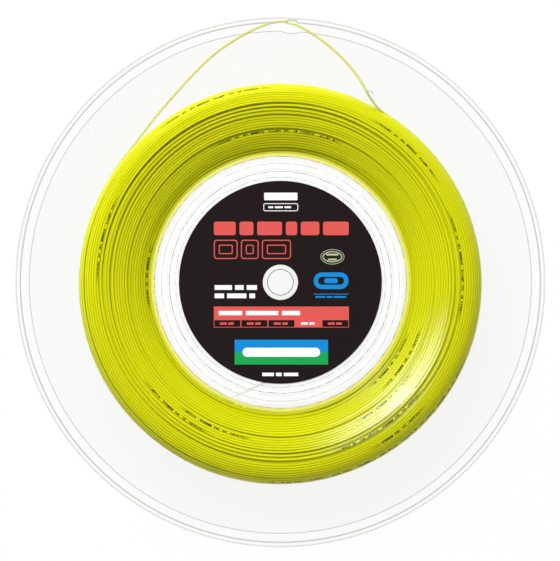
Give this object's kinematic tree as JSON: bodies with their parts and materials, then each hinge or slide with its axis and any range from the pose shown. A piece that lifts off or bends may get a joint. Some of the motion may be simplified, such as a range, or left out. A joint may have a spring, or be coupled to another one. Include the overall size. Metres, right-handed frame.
{
  "type": "string reel",
  "caption": "Clear plastic reel of racket string: two round flanges on a drum, a round dark label, bright yellow monofilament wound between them, its end threaded through the rim.",
  "frame": {"origin": "centre of the rear face, which the reel lies on", "axes": "+Z along the reel's axis, out through the front label; +Y towards the rim slot, upright on the label; +X to the label's right"},
  "size_m": [0.28, 0.28, 0.0307],
  "materials": {
    "clear_plastic": "clear moulded polystyrene, polished",
    "string": "glossy bright yellow polyester monofilament",
    "label_print": "printed film label, satin, near black with red, blue, green and white marks",
    "seal_foil": "thin patterned silver foil sticker"
  },
  "bodies": {
    "root": {"rear_flange": "clear_plastic", "drum_sleeve": "clear_plastic", "winding_core": "string", "winding_outer": "string", "string_start": "string", "string_end": "string", "front_flange": "clear_plastic", "front_label": "label_print", "seal_sticker": "seal_foil"}
  },
  "joints": []
}
